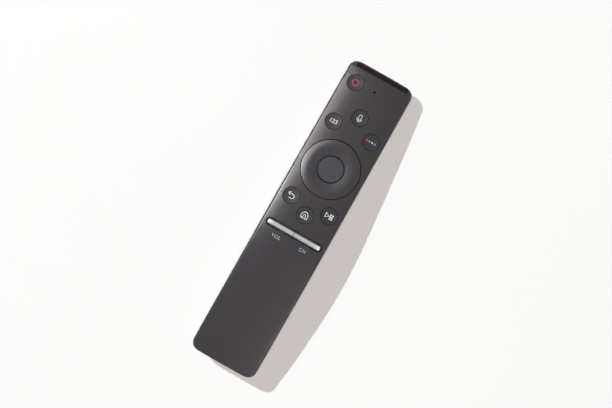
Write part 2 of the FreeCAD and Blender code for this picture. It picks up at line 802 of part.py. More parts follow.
def lever_switches():
    """Four flat switches on the bearing block, one under each end of each lever's foot."""
    low = lever_face - frame_top_below
    half_x = switch_size[0] / 2
    half_y = switch_size[1] / 2
    switches = []
    for x in (-switch_x, switch_x):
        for y in (lever_y - switch_offset, lever_y + switch_offset):
            switches.append(box((x - half_x, y - half_y, low), (x + half_x, y + half_y, low + switch_height)))
    return Part.makeCompound(switches)


def battery(side):
    """One AA cell: the left one points its cap to the tail, the right one to the head."""
    x = side * cell_spacing / 2
    cap_y = bay_head_y - contact_thickness if side > 0 else bay_tail_y + contact_thickness
    inward = Vector(0, -side, 0)
    cap = Part.makeCylinder(cap_diameter / 2, cap_length, Vector(x, cap_y, cell_axis), inward)
    start = Vector(x, cap_y - side * cap_length, cell_axis)
    can = Part.makeCylinder(cell_diameter / 2, cell_length - cap_length, start, inward)
    return can.fuse(cap)


def leaf_spring(x, plate_y, way, reach):
    """A bent leaf on a contact plate, which presses on the flat end of a cell."""
    thick = contact_thickness
    outline = [(-thick / 2, -leaf_reach), (reach, -leaf_crest), (reach, leaf_crest), (leaf_lift + thick, leaf_reach),
               (leaf_lift, leaf_reach), (reach - thick, leaf_crest), (reach - thick, -leaf_crest),
               (-thick / 2, thick - leaf_reach)]
    points = [(plate_y + way * out, cell_axis + up) for out, up in outline]
    return slab(points, leaf_width / 2, x)


def battery_contacts():
    """Bridge at the tail end, and a plus and a minus contact at the head end whose tabs reach the board."""
    half = contact_width / 2
    x = cell_spacing / 2
    low = cell_axis - half
    high = cell_axis + half
    bridge = box((-x, bay_tail_y, low), (x, bay_tail_y + contact_thickness, cell_axis - cell_gap))
    for side in (-1, 1):
        bridge = bridge.fuse(box((side * x - half, bay_tail_y, low),
                                 (side * x + half, bay_tail_y + contact_thickness, high)))
    plates = {"contact_bridge": bridge.removeSplitter()}
    tail_y = bay_head_y - contact_thickness
    tab_top = deck_z - (tail_y - deck_y) * deck_sine / deck_cosine - board_thickness / deck_cosine - seam_gap
    for name, side in (("contact_plus", 1), ("contact_minus", -1)):
        plate = box((side * x - half, tail_y, low), (side * x + half, bay_head_y, high))
        tab = box((side * x - tab_width / 2, tail_y, cell_axis), (side * x + tab_width / 2, bay_head_y, tab_top))
        plates[name] = plate.fuse(tab).removeSplitter()
    reach = tail_y - bay_tail_y - contact_thickness - cell_length
    for name, side, y, way in (("contact_bridge", 1, bay_tail_y + contact_thickness, 1),
                               ("contact_minus", -1, tail_y, -1)):
        plates[name] = plates[name].fuse(leaf_spring(side * x, y, way, reach))
    return plates


def screw_end():
    """Height of the tip of the case screws, in the posts under the face."""
    return face_height(screw_x, screw_y) - wall - screw_roof


def case_screws():
    """Two screws under the battery cover that pull the shells together."""
    screws = []
    for side in (-1, 1):
        head = regular_prism(screw_head_radius, 2 * screw_sides, ear_low - screw_head_height, ear_low)
        shank = regular_prism(screw_radius - seat_gap, screw_sides, ear_low - seat_gap, screw_end() - seam_gap)
        screw = head.fuse(shank)
        screw.translate(Vector(side * screw_x, screw_y, 0))
        screws.append(screw)
    return Part.makeCompound(screws)


def microphone():
    """Sound sensor on the board under the pinhole."""
    sx, sy, sz = sensor_size
    run = deck_spot(*sound_hole_spot)[0]
    return deck_box((-sx / 2, run - sy / 2, 0), (sx / 2, run + sy / 2, sz))


def microphone_gasket():
    """Soft block between the sensor and the shell, with a bore in line with the pinhole."""
    x, y = sound_hole_spot
    run = deck_spot(x, y)[0]
    top = under_face(x, y, gasket_side / 2, wall + seat_gap)
    bore = regular_prism(sound_hole_radius, screw_sides, 0, deck_depth)
    bore.translate(Vector(x, run, 0))
    return deck_block(x, run, gasket_side, sensor_size[2], top).cut(on_deck(bore))


def ir_leds():
    """Two infrared emitters on the end of the board, with their lenses aimed out of the window."""
    sx, sy, sz = led_size
    end = deck_run(board_head_y)
    leds = []
    for x in led_spots:
        body = box((x - sx / 2, end + led_seat - sy, 0), (x + sx / 2, end + led_seat, sz))
        lens = regular_prism(led_lens_radius, screw_sides, 0, led_lens_length + seat_gap)
        lens.rotate(Vector(0, 0, 0), Vector(1, 0, 0), -90)
        lens.translate(Vector(x, end + led_seat - seat_gap, sz / 2))
        leds.append(on_deck(body.fuse(lens)))
    return Part.makeCompound(leds)


def under_board(spot, size):
    """A flat component soldered under the board."""
    x, y = spot
    sx, sy, sz = size
    run = deck_run(y)
    low = -board_thickness - sz
    return deck_box((x - sx / 2, run - sy / 2, low), (x + sx / 2, run + sy / 2, -board_thickness))


nodes = {
    "front_cover": front_cover(),
    "ir_window": ir_window(),
    "rear_case": rear_case(),
    "battery_cover": battery_cover(),
    "circuit_board": circuit_board(),
    "keypad_mat": keypad_mat(),
    "dome_switches": dome_switches(),
    "navigation_ring": navigation_ring(),
    "navigation_carrier": navigation_carrier(),
    "navigation_posts": navigation_posts(),
    "enter_button": enter_button(),
    "volume_lever": lever(-1),
    "channel_lever": lever(1),
    "lever_frame": lever_frame(),
    "lever_switches": lever_switches(),
    "battery_left": battery(-1),
    "battery_right": battery(1),
    "case_screws": case_screws(),
    "microphone": microphone(),
    "microphone_gasket": microphone_gasket(),
    "ir_leds": ir_leds(),
    "processor_chip": under_board(chip_spot, chip_size),
    "radio_module": under_board(radio_spot, radio_size),
    "crystal": under_board(crystal_spot, crystal_size),
}
nodes.update(battery_contacts())
for name, spot in key_spots.items():
    nodes[name] = round_key(*spot)

os.makedirs("parts", exist_ok=True)
for name, shape in nodes.items():
    shape.exportStep("parts/" + name + ".step")
    print(name, len(shape.Solids), round(shape.Volume, 2), shape.isValid())
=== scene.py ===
import json
import math

import bmesh
import bpy
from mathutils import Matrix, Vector
from mathutils.bvhtree import BVHTree


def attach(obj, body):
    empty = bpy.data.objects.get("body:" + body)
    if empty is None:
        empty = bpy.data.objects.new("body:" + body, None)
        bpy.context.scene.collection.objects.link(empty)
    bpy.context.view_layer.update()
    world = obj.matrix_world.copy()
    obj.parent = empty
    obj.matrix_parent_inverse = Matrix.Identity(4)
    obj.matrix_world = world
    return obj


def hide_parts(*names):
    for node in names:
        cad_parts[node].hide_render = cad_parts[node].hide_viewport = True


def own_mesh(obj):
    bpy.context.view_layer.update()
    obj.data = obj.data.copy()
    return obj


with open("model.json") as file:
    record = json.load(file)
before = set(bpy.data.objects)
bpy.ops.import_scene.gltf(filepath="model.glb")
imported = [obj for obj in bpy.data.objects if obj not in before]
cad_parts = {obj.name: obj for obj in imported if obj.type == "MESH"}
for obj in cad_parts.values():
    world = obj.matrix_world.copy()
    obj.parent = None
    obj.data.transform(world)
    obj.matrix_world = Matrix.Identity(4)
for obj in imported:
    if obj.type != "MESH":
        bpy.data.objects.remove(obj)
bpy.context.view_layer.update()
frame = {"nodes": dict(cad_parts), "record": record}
nodes = frame["nodes"]

MM = 0.001

# The shell's face, in millimetres: an arched crest with a flatter arc towards either end, a crown
# across, and shoulders that begin near the tail and are full from the middle on
CREST_HEIGHT = 23.8
CREST_Y = -14.0
CREST_TAIL_Y = -28.0
CREST_HEAD_Y = 8.0
CREST_RADIUS = 190.0
HEAD_RADIUS = 1900.0
TAIL_RADIUS = 720.0
CROWN_RADIUS = 167.0
SHOULDER_START_Y = -45.0
SHOULDER_RUN = 50.0
SHOULDER_DROP = 0.8
SHOULDER_HALF_WIDTH = 17.7
FACE_HALF_WIDTH = 16.2
FACE_HALF_LENGTH = 74.0
FACE_SLACK = 0.12
END_SLACK = 0.01

# The rounding between the face and the flanks, and how tight its bend is
RIM_WIDTH = 1.5
RIM_DEPTH = 1.44
RIM_FADE = 6.0
RIM_POWER = 4
RIM_ACROSS = (0.03, 0.999)
RIM_UP = (0.001, 0.999)

# The deck under the keys, which slopes down to the head, and the middles of the keys on the face
DECK_TILT = math.radians(6.7)
DECK_Y = 40.0
DECK_BELOW = 5.6
KEY_COLUMN = 10.62
KEY_SPOTS = {
    "power_button": (-KEY_COLUMN, 71.5),
    "voice_button": (0.0, 57.1),
    "number_button": (-KEY_COLUMN, 49.3),
    "colour_button": (KEY_COLUMN, 49.3),
    "return_button": (-KEY_COLUMN, 7.2),
    "play_button": (KEY_COLUMN, 7.4),
    "home_button": (0.0, 2.0),
}

# The ring: its dish, the blend between arch and dish, and the roll at its outer edge
RING_Y = 27.8
RING_RADIUS = 14.75
RING_DISH_RADIUS = 12.5
RING_BORE = 7.0
RING_DISH_DEPTH = 0.95
RING_BLEND = 0.7
RING_ROLL_START = 10.5
RING_ROLL = 0.35
RING_SLACK = 0.06

# The rubber mat: its sheet, the reach of a bump round its middle, and how far out the ring's bumps
# lie
MAT_THICKNESS = 0.55
MAT_SLACK = 0.05
BUMP_REACH = 2.5
NUB_SPOT = 12.2

# The levers: how far the silver reaches below the face, and the slope from which a face is a flank
# with painted shade
SILVER_DEPTH = 0.9
FLANK_SLOPE = 0.6

# Work on the meshes: how upright the normal of an upper face is, the sizes of the cells that faces
# are cut into, the bend from which an edge stays sharp, and the rest in metres
UPWARD = 0.8
FACE_CELL_X = 1.08
FACE_CELL_Y = 3.0
RING_CELL = 0.7
PRINT_CELL = 0.4
SHARP_BEND = math.radians(28)
WELD_DISTANCE = 1e-7
CUT_DISTANCE = 1e-6
PRINT_CUT_DISTANCE = 1e-5
PRINT_LIFT = 0.00002
RAY_HEIGHT = 0.05
RAY_START = 0.01

# Signs: the widths of their lines, how far a bend may sharpen, the share of the font's size that its
# capitals fill, the coloured dots, the grid of the play sign, and the two words on the face
FINE_LINE = 0.3
MICROPHONE_LINE = 0.34
LINE = 0.36
BOLD_LINE = 0.42
MITRE_LIMIT = 0.4
CAPITALS = 0.73
DOT_RADIUS = 0.5
DOT_PITCH = 1.5
GRID_FIRST_X = 0.65
GRID_FIRST_Y = 0.9
GRID_PITCH_X = 1.05
GRID_PITCH_Y = 1.0
GRID_HALF_WIDTH = 0.43
GRID_HALF_HEIGHT = 0.37
LABEL_HEIGHT = 1.75
LABELS = (("volume_label", "VOL", (-7.1, -14.1)), ("channel_label", "CH", (7.4, -13.9)))


def face_height(x, y):
    """Height of the shell's face in millimetres."""
    on_crest = min(max(y, CREST_TAIL_Y), CREST_HEAD_Y)
    head_run = max(y - CREST_HEAD_Y, 0.0)
    tail_run = max(CREST_TAIL_Y - y, 0.0)
    height = CREST_HEIGHT - (on_crest - CREST_Y) ** 2 / (2 * CREST_RADIUS)
    height -= head_run * (CREST_HEAD_Y - CREST_Y) / CREST_RADIUS + head_run ** 2 / (2 * HEAD_RADIUS)
    height -= tail_run * (CREST_Y - CREST_TAIL_Y) / CREST_RADIUS + tail_run ** 2 / (2 * TAIL_RADIUS)
    fade = min(max((y - SHOULDER_START_Y) / SHOULDER_RUN, 0.0), 1.0)
    fade = fade * fade * (3 - 2 * fade)
    crown = x ** 2 / (2 * CROWN_RADIUS)
    return height - crown - SHOULDER_DROP * fade * (x / SHOULDER_HALF_WIDTH) ** 4


DECK_Z = face_height(0, DECK_Y) - DECK_BELOW


def to_deck(spot):
    """From the body's axes to those of the tilted deck under the keys."""
    dy = spot.y - DECK_Y
    dz = spot.z - DECK_Z
    return Vector((spot.x, dy * math.cos(DECK_TILT) - dz * math.sin(DECK_TILT),
                   dy * math.sin(DECK_TILT) + dz * math.cos(DECK_TILT)))


def from_deck(spot):
    """From the deck's axes back to the body's."""
    return Vector((spot.x, DECK_Y + spot.y * math.cos(DECK_TILT) + spot.z * math.sin(DECK_TILT),
                   DECK_Z - spot.y * math.sin(DECK_TILT) + spot.z * math.cos(DECK_TILT)))


def upright(tilt):
    """The direction square to a surface with this tilt."""
    return Vector((0, math.sin(tilt), math.cos(tilt)))


# Materials

GRAIN_DEPTH = 0.00001
MOTTLE_DETAIL = 3.0
MOTTLE_SPAN = (0.3, 0.7)
SHEEN_SCALE = 0.6
METALLIC = 0.85
METAL_SPREAD = 0.03
METAL_SCALE = 300
LINE_SCALE = 250
LINE_STRENGTH = 0.12


def shader(name):
    """A new material, with its node tree, its coordinates on the object and its surface."""
    material = bpy.data.materials.new(name)
    material.use_nodes = True
    tree = material.node_tree
    coords = tree.nodes.new("ShaderNodeTexCoord").outputs["Object"]
    return material, tree, coords, tree.nodes["Principled BSDF"]


def noise(tree, coords, scale, detail=2.0):
    """Soft noise between 0 and 1."""
    node = tree.nodes.new("ShaderNodeTexNoise")
    node.inputs["Scale"].default_value = scale
    node.inputs["Detail"].default_value = detail
    tree.links.new(coords, node.inputs["Vector"])
    return node.outputs["Fac"]


def mottled(tree, coords, colour, spread, scale):
    """A colour that varies slightly over the surface."""
    ramp = tree.nodes.new("ShaderNodeValToRGB")
    shades = (1 - spread, 1 + spread)
    for element, position, shade in zip(ramp.color_ramp.elements, MOTTLE_SPAN, shades):
        element.position = position
        element.color = [c * shade for c in colour] + [1]
    tree.links.new(noise(tree, coords, scale, MOTTLE_DETAIL), ramp.inputs["Fac"])
    return ramp.outputs["Color"]


def relief(tree, height, surface, strength, depth):
    """Fine unevenness, as a bump."""
    node = tree.nodes.new("ShaderNodeBump")
    node.inputs["Strength"].default_value = strength
    node.inputs["Distance"].default_value = depth
    tree.links.new(height, node.inputs["Height"])
    tree.links.new(node.outputs["Normal"], surface.inputs["Normal"])


def moulded(name, colour, roughness, spread=0.06, scale=90, grain_scale=5200, depth=GRAIN_DEPTH,
            strength=0.25, specular=0.5, rough_spread=0.05):
    """Moulded plastic or rubber with a faint mottle, uneven sheen and fine grain."""
    material, tree, coords, surface = shader(name)
    tree.links.new(mottled(tree, coords, colour, spread, scale), surface.inputs["Base Color"])
    ranged = tree.nodes.new("ShaderNodeMapRange")
    ranged.inputs["To Min"].default_value = roughness - rough_spread
    ranged.inputs["To Max"].default_value = roughness + rough_spread
    tree.links.new(noise(tree, coords, scale * SHEEN_SCALE), ranged.inputs["Value"])
    tree.links.new(ranged.outputs["Result"], surface.inputs["Roughness"])
    surface.inputs["Specular IOR Level"].default_value = specular
    if strength:
        relief(tree, noise(tree, coords, grain_scale), surface, strength, depth)
    return material


def printed(name, colour, spread=0.06):
    """Dull printing ink."""
    return moulded(name, colour, 0.6, spread=spread, scale=900, strength=0.1)


def painted_highlight_ends(tree, coords, tint, colour, start, end):
    """Painted highlight: blends a colour into a brighter one between two distances from the middle,
    along X.
    """
    split = tree.nodes.new("ShaderNodeSeparateXYZ")
    away = tree.nodes.new("ShaderNodeMath")
    away.operation = "ABSOLUTE"
    share = tree.nodes.new("ShaderNodeMapRange")
    share.inputs["From Min"].default_value = start * MM
    share.inputs["From Max"].default_value = end * MM
    blend = tree.nodes.new("ShaderNodeMixRGB")
    blend.inputs["Color2"].default_value = (*colour, 1)
    tree.links.new(coords, split.inputs["Vector"])
    tree.links.new(split.outputs["X"], away.inputs[0])
    tree.links.new(away.outputs[0], share.inputs["Value"])
    tree.links.new(share.outputs["Result"], blend.inputs["Fac"])
    tree.links.new(tint, blend.inputs["Color1"])
    return blend.outputs["Color"]


def brushed(name, colour, roughness, stretch, ends=None):
    """Metallic finish with fine lines along X, and optionally a painted highlight towards both ends.
    """
    material, tree, coords, surface = shader(name)
    tint = mottled(tree, coords, colour, METAL_SPREAD, METAL_SCALE)
    if ends:
        tint = painted_highlight_ends(tree, coords, tint, *ends)
    tree.links.new(tint, surface.inputs["Base Color"])
    surface.inputs["Metallic"].default_value = METALLIC
    surface.inputs["Roughness"].default_value = roughness
    mapping = tree.nodes.new("ShaderNodeMapping")
    mapping.inputs["Scale"].default_value = (1, stretch, stretch)
    tree.links.new(coords, mapping.inputs["Vector"])
    lines = noise(tree, mapping.outputs["Vector"], LINE_SCALE)
    relief(tree, lines, surface, LINE_STRENGTH, GRAIN_DEPTH)
    return material


shell = moulded("satin_shell", (0.0162, 0.0130, 0.0158), 0.31)
base = moulded("textured_base", (0.020, 0.019, 0.021), 0.52, grain_scale=2600, depth=0.00003,
               strength=0.4)
key_plastic = moulded("key_plastic", (0.033, 0.031, 0.034), 0.48, specular=0.2)
ring_plastic = moulded("ring_plastic", (0.018, 0.0155, 0.0178), 0.33)
centre_plastic = moulded("centre_plastic", (0.026, 0.027, 0.034), 0.46, specular=0.40)
# The silver bar's brighter outer ends are a painted highlight
silver = brushed("satin_silver", (0.43, 0.43, 0.43), 0.34, 12, ends=((0.78, 0.78, 0.79), 11.2, 14.2))
# A darker copy of the silver, as painted shade on the levers' flanks
shade_painted_silver = brushed("silver_with_painted_shade", (0.24, 0.24, 0.25), 0.38, 12)
window = moulded("window", (0.011, 0.004, 0.005), 0.2, spread=0.1, strength=0.0, rough_spread=0.03,
                 specular=0.16)
rubber = moulded("silicone", (0.035, 0.035, 0.038), 0.7, grain_scale=3000)
board = moulded("solder_mask", (0.006, 0.035, 0.018), 0.4, spread=0.12, scale=400)
grey_plastic = moulded("grey_moulding", (0.3, 0.3, 0.3), 0.55)
resin = moulded("black_resin", (0.02, 0.02, 0.022), 0.5, grain_scale=4000)
led_resin = moulded("tinted_resin", (0.16, 0.12, 0.2), 0.15)
steel = brushed("plated_steel", (0.55, 0.55, 0.54), 0.3, 8)
spring_steel = brushed("nickel", (0.6, 0.58, 0.53), 0.25, 8)
cell_wrap = moulded("cell_wrap", (0.35, 0.27, 0.10), 0.3, spread=0.04)
white_print = printed("white_print", (0.72, 0.72, 0.74), 0.03)
label_print = printed("label_print", (0.36, 0.42, 0.46), 0.04)
red_print = printed("red_print", (0.42, 0.035, 0.06), 0.05)
dot_prints = [
    printed("dot_red", (0.62, 0.04, 0.05)),
    printed("dot_green", (0.10, 0.42, 0.24)),
    printed("dot_yellow", (0.70, 0.56, 0.16)),
    printed("dot_blue", (0.12, 0.28, 0.66)),
]

by_slot = {
    "upper_shell": shell, "lower_shell": base, "key": key_plastic, "ring": ring_plastic,
    "centre_key": centre_plastic, "silver": silver, "window": window, "rubber": rubber,
    "board": board, "inner_plastic": grey_plastic, "component": resin, "led": led_resin,
    "steel": steel, "spring_steel": spring_steel, "cell": cell_wrap,
}
slot_of = {part["node"]: part["material_slot"] for part in frame["record"]["subparts"]}
for name, node in nodes.items():
    node.data.materials.clear()
    node.data.materials.append(resin if name == "lever_frame" else by_slot[slot_of[name]])


# Each lever's bar is silver on top and darker on its flanks as painted shade, and the foot under it
# is black

for name in ("volume_lever", "channel_lever"):
    lever = nodes[name].data
    lever.materials.append(shade_painted_silver)
    lever.materials.append(resin)
    for face in lever.polygons:
        spot = face.center / MM
        if spot.z < face_height(spot.x, spot.y) - SILVER_DEPTH:
            face.material_index = 2
        # Faces that turn sideways get the darker silver as painted shade
        elif abs(face.normal.y) > FLANK_SLOPE:
            face.material_index = 1


# The shell's face and the ring, refined from their facets to their true curves

def spread(low, high, step):
    """Places from low to high, at most a step apart."""
    count = math.ceil((high - low) / step)
    return [low + (high - low) * index / count for index in range(count + 1)]


def along(axis, length=1.0):
    """A vector along X or Y."""
    vector = Vector((0, 0, 0))
    vector[axis] = length
    return vector


def welded(node):
    """A node's mesh, with its facets joined at their corners."""
    mesh = bmesh.new()
    mesh.from_mesh(nodes[node].data)
    bmesh.ops.remove_doubles(mesh, verts=mesh.verts[:], dist=WELD_DISTANCE)
    return mesh


def crosses(face, axis, place):
    """Whether a face lies on both sides of a place along X or Y."""
    ends = [v.co[axis] for v in face.verts]
    return min(ends) < place < max(ends)


def refine(mesh, cuts, on_surface, shaped):
    """Cuts the upper faces on a surface into cells, and moves their corners onto its true shape."""
    for axis, spots in cuts:
        for spot in spots:
            plane = along(axis) * spot * MM
            known = {v: on_surface(v.co / MM) for v in mesh.verts}
            faces = [f for f in mesh.faces if f.normal.z > UPWARD and all(known[v] for v in f.verts)
                     and crosses(f, axis, plane[axis])]
            edges = {e for f in faces for e in f.edges}
            verts = {v for f in faces for v in f.verts}
            bmesh.ops.bisect_plane(mesh, geom=faces + list(edges) + list(verts), plane_co=plane,
                                   plane_no=along(axis), dist=CUT_DISTANCE)
    moves = [v for v in mesh.verts
             if any(f.normal.z > UPWARD for f in v.link_faces) and on_surface(v.co / MM)]
    for vert in moves:
        vert.co = shaped(vert.co / MM) * MM


def new_piece(name, mesh, body, material, node=None):
    """A finished mesh as a piece on a body, in place of a node where one is given."""
    data = bpy.data.meshes.new(name)
    mesh.to_mesh(data)
    mesh.free()
    data.materials.append(material)
    piece = bpy.data.objects.new(name, data)
    bpy.context.scene.collection.objects.link(piece)
    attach(piece, body)
    if node:
        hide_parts(node)
    return piece


def near_face(spot):
    return abs(spot.z - face_height(spot.x, spot.y)) < FACE_SLACK


def shaped_face(spot):
    """Onto the face's curves, short of the rounded rim."""
    within_width = abs(spot.x) <= FACE_HALF_WIDTH + END_SLACK
    within_length = abs(spot.y) <= FACE_HALF_LENGTH + END_SLACK
    if within_width and within_length and near_face(spot):
        return Vector((spot.x, spot.y, face_height(spot.x, spot.y)))
    return spot


def crisp_rim(spot):
    """Tightens the rounding along both long edges, and less so towards the ends."""
    across = (abs(spot.x) - FACE_HALF_WIDTH) / RIM_WIDTH
    up = 1 - (face_height(spot.x, spot.y) - spot.z) / RIM_DEPTH
    if not (RIM_ACROSS[0] < across < RIM_ACROSS[1] and RIM_UP[0] < up < RIM_UP[1]):
        return spot
    share = min(max((FACE_HALF_LENGTH - abs(spot.y)) / RIM_FADE, 0.0), 1.0)
    bent = (across ** RIM_POWER + up ** RIM_POWER) ** (-1 / RIM_POWER)
    stretch = 1 + (bent - 1) * share
    x = math.copysign(FACE_HALF_WIDTH + RIM_WIDTH * across * stretch, spot.x)
    return Vector((x, spot.y, face_height(x, spot.y) - RIM_DEPTH * (1 - up * stretch)))


shell_mesh = welded("front_cover")
face_cuts = ((0, spread(-FACE_HALF_WIDTH, FACE_HALF_WIDTH, FACE_CELL_X)),
             (1, spread(-FACE_HALF_LENGTH, FACE_HALF_LENGTH, FACE_CELL_Y)))
refine(shell_mesh, face_cuts, near_face, shaped_face)
front_shell = new_piece("front_shell", shell_mesh, "housing", shell, "front_cover")
for corner in front_shell.data.vertices:
    corner.co = crisp_rim(corner.co / MM) * MM

ring_middle = to_deck(Vector((0, RING_Y, face_height(0, RING_Y))))
ring_fall = face_height(0, RING_Y) - face_height(RING_RADIUS, RING_Y)
ring_crown = RING_RADIUS ** 2 / (2 * ring_fall)
ring_bowl = (RING_DISH_RADIUS ** 2 - RING_BORE ** 2) / (2 * RING_DISH_DEPTH)
ring_low = ring_middle.z - RING_DISH_RADIUS ** 2 / (2 * ring_bowl)


def ring_arch(spot):
    return ring_middle.z - ring_crown + math.sqrt(ring_crown ** 2 - spot.x ** 2)


def ring_dish(spot):
    rise = math.sqrt(ring_bowl ** 2 - spot.x ** 2 - (spot.y - ring_middle.y) ** 2)
    return ring_low + ring_bowl - rise


def on_ring(spot):
    spot = to_deck(spot)
    return abs(spot.z - min(ring_arch(spot), ring_dish(spot))) < RING_SLACK


def shaped_ring(spot):
    """The arch blends softly into the dish, and rolls off towards the ring's outer edge."""
    spot = to_deck(spot)
    arch = ring_arch(spot)
    dish = ring_dish(spot)
    share = max(RING_BLEND - abs(arch - dish), 0.0) / RING_BLEND
    radius = math.hypot(spot.x, spot.y - ring_middle.y)
    roll_share = max(radius - RING_ROLL_START, 0.0) / (RING_RADIUS - RING_ROLL_START)
    spot.z = min(arch, dish) - share ** 2 * RING_BLEND / 4 - RING_ROLL * roll_share ** 2
    return from_deck(spot)


ring_mesh = welded("navigation_ring")
ring_cuts = ((0, spread(-RING_RADIUS, RING_RADIUS, RING_CELL)),
             (1, spread(RING_Y - RING_RADIUS, RING_Y + RING_RADIUS, RING_CELL)))
refine(ring_mesh, ring_cuts, on_ring, shaped_ring)
ring_skin = new_piece("ring_skin", ring_mesh, "navigation_ring", ring_plastic,
                      "navigation_ring")


# The rubber mat, taken apart into its sheet and the bumps that the keys and the ring press flat

def raised(face):
    return max(to_deck(v.co / MM).z for v in face.verts) > MAT_THICKNESS + MAT_SLACK


def mat_piece(name, belongs):
    """The mat's faces that belong to one piece, with the holes closed where the others were."""
    mesh = welded("keypad_mat")
    bmesh.ops.delete(mesh, geom=[f for f in mesh.faces if not belongs(f)], context="FACES")
    bmesh.ops.holes_fill(mesh, edges=[e for e in mesh.edges if e.is_boundary], sides=0)
    bmesh.ops.recalc_face_normals(mesh, faces=mesh.faces[:])
    return new_piece(name, mesh, "housing", rubber, "keypad_mat")


def bump(name, x, run):
    """One bump of the mat, as a piece of its own on the housing."""
    def belongs(face):
        spot = to_deck(face.calc_center_median() / MM)
        return raised(face) and math.hypot(spot.x - x, spot.y - run) < BUMP_REACH

    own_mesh(mat_piece(name, belongs))


mat_piece("mat_sheet", lambda face: not raised(face))
for button, (x, y) in KEY_SPOTS.items():
    run = to_deck(Vector((x, y, face_height(x, y)))).y
    bump(button.replace("button", "bump"), x, run)
bump("enter_bump", 0.0, ring_middle.y)
for side, place in ((-1, "left"), (1, "right")):
    bump("ring_bump_" + place, side * NUB_SPOT, ring_middle.y)
for side, place in ((-1, "tail"), (1, "head")):
    run = ring_middle.y + side * NUB_SPOT
    bump("ring_bump_" + place, 0.0, run)


# Smooth shading of the broad surfaces

def even_shading(limit):
    """Node group that shades smoothly over every edge flatter than the limit."""
    group = bpy.data.node_groups.new("even_shading", "GeometryNodeTree")
    for way in ("INPUT", "OUTPUT"):
        group.interface.new_socket("Geometry", in_out=way, socket_type="NodeSocketGeometry")
    start = group.nodes.new("NodeGroupInput")
    end = group.nodes.new("NodeGroupOutput")
    bare = group.nodes.new("GeometryNodeRemoveAttribute")
    bare.inputs["Name"].default_value = "custom_normal"
    faces = group.nodes.new("GeometryNodeSetShadeSmooth")
    faces.domain = "FACE"
    edges = group.nodes.new("GeometryNodeSetShadeSmooth")
    edges.domain = "EDGE"
    edges.inputs["Shade Smooth"].default_value = False
    bend = group.nodes.new("GeometryNodeInputMeshEdgeAngle")
    sharp = group.nodes.new("FunctionNodeCompare")
    sharp.operation = "GREATER_THAN"
    sharp.inputs[1].default_value = limit
    group.links.new(start.outputs[0], bare.inputs["Geometry"])
    group.links.new(bare.outputs["Geometry"], faces.inputs["Geometry"])
    group.links.new(faces.outputs["Geometry"], edges.inputs["Geometry"])
    group.links.new(bend.outputs["Unsigned Angle"], sharp.inputs[0])
    group.links.new(sharp.outputs[0], edges.inputs["Selection"])
    group.links.new(edges.outputs["Geometry"], end.inputs[0])
    return group


shading = even_shading(SHARP_BEND)
smooth_nodes = [nodes[name] for name in ("rear_case", "battery_cover", "ir_window")]
for shown in [front_shell, ring_skin] + smooth_nodes:
    shown.modifiers.new("even_shading", "NODES").node_group = shading
    shown.modifiers.new("weighted", "WEIGHTED_NORMAL").keep_sharp = True


# Printed signs: flat outlines in millimetres that are laid onto the surface below them

def stroke(mesh, points, thickness, closed=False):
    """A line of even thickness with mitred bends."""
    half = thickness / 2
    count = len(points)
    points = [Vector((x, y)) for x, y in points]
    left = []
    right = []
    for index, point in enumerate(points):
        before = points[index - 1] if closed or index else None
        after = points[(index + 1) % count] if closed or index < count - 1 else None
        into = (point - before).normalized() if before is not None else None
        out = (after - point).normalized() if after is not None else None
        into = into or out
        out = out or into
        middle = (into + out).normalized()
        side = Vector((-middle.y, middle.x))
        reach = half / max(side.dot(Vector((-into.y, into.x))), MITRE_LIMIT)
        left.append(mesh.verts.new((point + side * reach).to_3d()))
        right.append(mesh.verts.new((point - side * reach).to_3d()))
    for index in range(count if closed else count - 1):
        after = (index + 1) % count
        mesh.faces.new((left[index], right[index], right[after], left[after]))


def arc(cx, cy, radius, start, end, steps):
    """Points on a circle, from one angle to another in degrees."""
    angles = [math.radians(start + (end - start) * step / steps) for step in range(steps + 1)]
    return [(cx + radius * math.cos(a), cy + radius * math.sin(a)) for a in angles]


def polygon(mesh, points):
    mesh.faces.new([mesh.verts.new((x, y, 0)) for x, y in points])


def words(mesh, text, height, boldness, spacing):
    """Text in the plain built-in font, centred, with capitals of the given height."""
    curve = bpy.data.curves.new("words", "FONT")
    curve.body = text
    curve.size = height / CAPITALS
    curve.align_x = "CENTER"
    curve.align_y = "CENTER"
    curve.offset = boldness
    curve.space_character = spacing
    curve.resolution_u = 6
    holder = bpy.data.objects.new("words", curve)
    bpy.context.scene.collection.objects.link(holder)
    bpy.context.view_layer.update()
    flat = bpy.data.meshes.new_from_object(holder)
    mesh.from_mesh(flat)
    bpy.data.objects.remove(holder)
    bpy.data.curves.remove(curve)
    bpy.data.meshes.remove(flat)


search_trees = {}


def search_tree(node):
    """Search tree of the shown surface of a node."""
    if node not in search_trees:
        mesh = front_shell.data if node == "front_cover" else nodes[node].data
        corners = [v.co for v in mesh.vertices]
        faces = [list(p.vertices) for p in mesh.polygons]
        search_trees[node] = BVHTree.FromPolygons(corners, faces)
    return search_trees[node]


